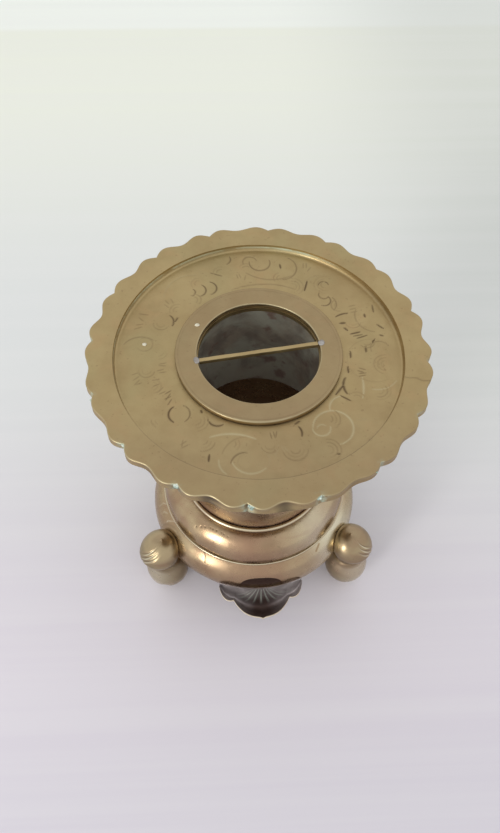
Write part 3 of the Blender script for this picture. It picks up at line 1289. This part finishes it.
def rivet(node, turn):
    """Domed rivet from inside the bowl into a knee."""
    start = Vector((BOWL_MID[0], 0.0, BOWL_MID[1]))
    way = Vector((FOOT_R, 0.0, RIVET_Z)) - start
    tilt = math.atan2(way.x, way.z)
    head, tip = 9.1, 15.9
    line = [(0.05, tip), (1.3, tip), (1.3, head), (2.7, head), (2.6, head - 0.3),
            (2.2, head - 0.9), (1.5, head - 1.35), (0.05, head - 1.6)]
    points = turn_grid([(r * MM, z * MM) for r, z in line], 48)
    mesh = grid_mesh(node + "_skin", points, wrap_rows=True)
    place = Matrix.Rotation(math.radians(turn), 4, "Z") @ Matrix.Translation(start)
    mesh.transform(place @ Matrix.Rotation(tilt, 4, "Y"))
    put(node + "_skin", mesh, soot_look(node + "_look"), "body", node)


# ---- small deposits -------------------------------------------------------------------------
# Lumps of verdigris on the rim: degrees, size in mm.
CRUSTS = [(241.6, 1.25), (265.6, 1.45), (285.6, 1.30), (198.6, 0.6), (218.6, 0.6), (305.6, 0.6)]


def wax_drop(name, degrees, reach, size, floor):
    """Flat drop of wax on the tray at a direction and a distance in mm."""
    x, y = polar(degrees, reach * MM)
    bm = bmesh.new()
    bmesh.ops.create_uvsphere(bm, u_segments=32, v_segments=20, radius=1.0)
    for v in bm.verts:
        lump = 1 + 0.12 * math.sin(3 * v.co.x + 2 * v.co.y + degrees)
        v.co = Vector((x + v.co.x * size * lump * MM, y + v.co.y * size * 0.85 * MM,
                       floor + v.co.z * size * 0.42 * MM))
    put(name, mesh_of(name, bm), wax_look(name + "_look"), "tray_top", sharp=180)


def crust_lump(name, degrees, size):
    """Lump of verdigris in a notch of the rim."""
    rng = random.Random(int(degrees * 10))
    turn = math.radians(degrees)
    reach = float(scallop(np.array([turn]))[0]) - 0.35 * MM * size
    shifts = [Vector([rng.uniform(0, TAU) for _ in range(3)]) for _ in range(2)]
    bm = bmesh.new()
    bmesh.ops.create_icosphere(bm, subdivisions=4, radius=1.0)
    for v in bm.verts:
        lump = 1.0
        for k, shift in enumerate(shifts):
            wave = 3.1 * (k + 1)
            lump += 0.20 / (k + 1) * sum(math.sin(c * wave + s) for c, s in zip(v.co, shift))
        grown = v.co * lump * size * MM
        v.co = Vector((grown.x * 0.75, grown.y * 0.85, min(grown.z, 0.30 * MM * size)))
    mesh = mesh_of(name, bm)
    mesh.transform(Matrix.Rotation(turn, 4, "Z") @ Matrix.Translation((reach, 0, TOP - 0.55 * MM)))
    put(name, mesh, crust_look(name + "_look"), "tray_top", sharp=180)


# ---- stage -----------------------------------------------------------------------------------
def floor():
    """Wide flat ground under the feet."""
    mesh = bpy.data.meshes.new("floor")
    half = FLOOR_HALF
    mesh.from_pydata([(-half, -half, 0), (half, -half, 0), (half, half, 0), (-half, half, 0)],
                     [], [(0, 1, 2, 3)])
    thing = new_object("floor", mesh)
    mesh.materials.append(floor_look())


def soft_light(name, place, aim, size, power, tint):
    """Rectangular lamp at a place, aimed at a point."""
    data = bpy.data.lights.new(name, "AREA")
    data.shape = "RECTANGLE"
    data.size, data.size_y = size
    data.energy = power
    data.color = tint
    lamp = new_object(name, data)
    lamp.location = place
    lamp.rotation_euler = (Vector(aim) - Vector(place)).to_track_quat("-Z", "Y").to_euler()


def lights():
    """Even bright surroundings and one window low on the left."""
    world = bpy.data.worlds.new("studio")
    world.use_nodes = True
    sky = world.node_tree.nodes["Background"]
    sky.inputs["Color"].default_value = SKY
    sky.inputs["Strength"].default_value = SKY_POWER
    bpy.context.scene.world = world
    soft_light("window", WINDOW_SPOT, WINDOW_AIM, WINDOW_SIZE, WINDOW_POWER, WINDOW_TINT)


def camera():
    """Stands in front, well above, turned a few degrees round the object."""
    data = bpy.data.cameras.new("camera")
    data.lens = CAMERA_LENS
    data.sensor_width = 36.0
    eye = new_object("camera", data)
    back = Vector((0.0, -math.cos(CAMERA_TILT), math.sin(CAMERA_TILT)))
    right = Vector((1.0, 0.0, 0.0))
    up = back.cross(right)
    across = right * math.cos(CAMERA_ROLL) + up * math.sin(CAMERA_ROLL)
    upward = up * math.cos(CAMERA_ROLL) - right * math.sin(CAMERA_ROLL)
    place = Matrix((across, upward, back)).transposed().to_4x4()
    place.translation = Vector(CAMERA_SPOT) * TRAY_R + Vector((0, 0, TOP))
    eye.matrix_world = Matrix.Rotation(CAMERA_TURN, 4, "Z") @ place
    bpy.context.scene.camera = eye


def build():
    """Every piece, deposit, light and the camera, in a fixed order."""
    tray()
    collar()
    bar()
    solder("solder_left_skin", "bar_solder_left", -1, 3)
    solder("solder_right_skin", "bar_solder_right", 1, 7)
    tube()
    neck()
    shoulder_bead()
    shoulder()
    waist()
    lower_bowl()
    base_plate()
    hearth_shelf()
    grate()
    knob()
    apron()
    for node, turn in FOOT_TURNS.items():
        foot(node, turn, 1 if node == "foot_front_left" else -1)
        rivet(node.replace("foot", "rivet"), turn)
    wax_drop("wax_pan", 172, 36.8, 0.75, PAN_Z)
    wax_drop("wax_collar", 150, 22.5, 0.75, COLLAR_TOP)
    for k, (angle, size) in enumerate(CRUSTS):
        crust_lump(f"crust_{k}", angle, size)
    floor()
    lights()
    camera()
    bpy.context.scene.view_settings.view_transform = "Standard"


build()
